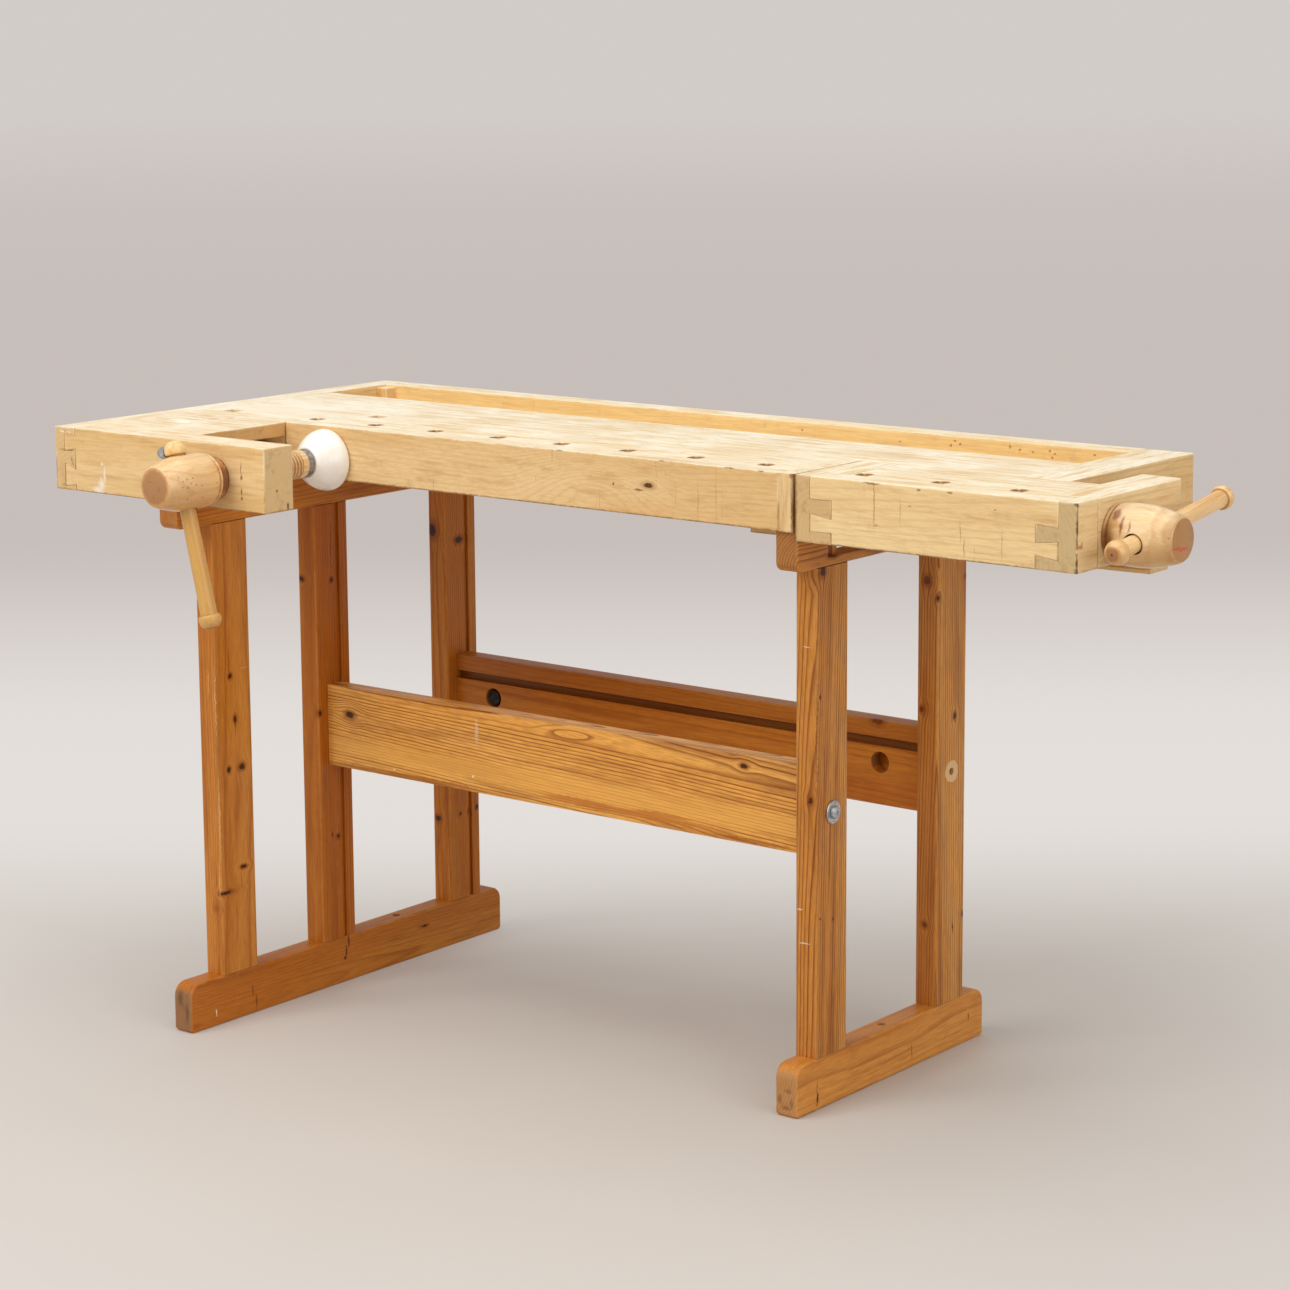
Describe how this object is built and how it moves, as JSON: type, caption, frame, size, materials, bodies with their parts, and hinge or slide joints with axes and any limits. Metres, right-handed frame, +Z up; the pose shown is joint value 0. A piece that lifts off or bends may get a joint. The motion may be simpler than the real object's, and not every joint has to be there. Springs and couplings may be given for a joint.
{
  "type": "woodworking bench with vises",
  "caption": "Joiner's workbench on sled-foot trestles with a dog-holed top, tool tray, wooden-screw shoulder vise and a sliding dovetailed tail vise.",
  "frame": {"origin": "on the floor under the middle of the whole bench's bounding box", "axes": "+X along the bench towards the tail vise, +Y from the apron to the back rail, +Z up"},
  "size_m": [1.6328, 0.7962, 0.8604],
  "materials": {
    "pine": "honey-orange lacquered knotty pine, worn at the edges",
    "beech": "pale oiled beech, scuffed and marked",
    "turned_beech": "turned beech, hand-polished",
    "dark_collar": "dark brown stained wood",
    "zinc": "dull zinc-plated steel",
    "dark_steel": "blackened steel",
    "white_pad": "glossy cream-white moulded pad"
  },
  "bodies": {
    "bench": {"apron_end_jaw": "beech", "back_rail": "beech", "back_stretcher": "pine", "bolt_back_left": "zinc", "bolt_front_left": "zinc", "bolt_front_right": "zinc", "coach_screw_left_back": "zinc", "coach_screw_left_front": "zinc", "coach_screw_right_back": "zinc", "coach_screw_right_front": "zinc", "cross_nut_back_left": "dark_steel", "cross_nut_front_left": "dark_steel", "cross_nut_front_right": "dark_steel", "dog_strip": "beech", "front_apron": "beech", "front_stretcher": "pine", "left_back_post": "pine", "left_bearer": "pine", "left_end_cap": "beech", "left_foot": "pine", "left_front_post": "pine", "left_shoulder_post": "pine", "right_back_post": "pine", "right_bearer": "pine", "right_end_cap": "beech", "right_foot": "pine", "right_front_post": "pine", "shoulder_beam": "beech", "shoulder_collar": "dark_collar", "shoulder_slab": "beech", "tail_guide_keeper": "beech", "tail_nut_block": "beech", "top_board": "beech", "tray_corner_block": "beech", "tray_floor": "beech", "tray_front_rail": "beech", "washer_back_left": "zinc", "washer_front_left": "zinc", "washer_front_right": "zinc"},
    "tail_carriage": {"tail_beam": "beech", "tail_dog_strip": "beech", "tail_jaw_block": "beech", "tail_end_block": "beech", "tail_screw_block": "beech", "tail_top_plate": "beech", "tail_guide_bar": "beech"},
    "tail_spindle": {"tail_screw": "turned_beech", "tail_screw_collar": "dark_collar", "tail_hub": "turned_beech"},
    "tail_tommy_bar": {"tail_handle": "turned_beech", "tail_handle_lower_knob": "turned_beech", "tail_handle_upper_knob": "turned_beech"},
    "shoulder_foot_pad": {"shoulder_pad": "white_pad"},
    "shoulder_spindle": {"shoulder_screw": "turned_beech", "shoulder_hub": "turned_beech", "shoulder_ferrule": "zinc"},
    "shoulder_tommy_bar": {"shoulder_handle": "turned_beech", "shoulder_handle_lower_knob": "turned_beech", "shoulder_handle_upper_knob": "turned_beech", "shoulder_knob_bolt": "zinc"}
  },
  "joints": [
    {"name": "tail_slide", "type": "slide", "parent": "bench", "child": "tail_carriage", "axis": [1, 0, 0], "range_m": [-0.0035, 0.144]},
    {"name": "tail_screw_turn", "type": "hinge", "parent": "tail_carriage", "child": "tail_spindle", "pos_m": [0.7246, 0.02515, 0.803], "axis": [1, 0, 0], "range_deg": [-210, 8640]},
    {"name": "tail_handle_slide", "type": "slide", "parent": "tail_spindle", "child": "tail_tommy_bar", "axis": [0, 0.9912, 0.1323], "range_m": [-0.137, 0.027]},
    {"name": "shoulder_slide", "type": "slide", "parent": "bench", "child": "shoulder_foot_pad", "axis": [0, 1, 0], "range_m": [-0.102, 0]},
    {"name": "shoulder_screw_turn", "type": "hinge", "parent": "shoulder_foot_pad", "child": "shoulder_spindle", "pos_m": [-0.4974, -0.30465, 0.803], "axis": [0, 1, 0], "range_deg": [-6120, 0]},
    {"name": "shoulder_handle_slide", "type": "slide", "parent": "shoulder_spindle", "child": "shoulder_tommy_bar", "axis": [0.2453, 0, -0.9694], "range_m": [-0.141, 0]}
  ],
  "couplings": [
    {"joint": "tail_slide", "follows": "tail_screw_turn", "m_per_rad": 0.00095493},
    {"joint": "shoulder_slide", "follows": "shoulder_screw_turn", "m_per_rad": 0.00095493}
  ]
}
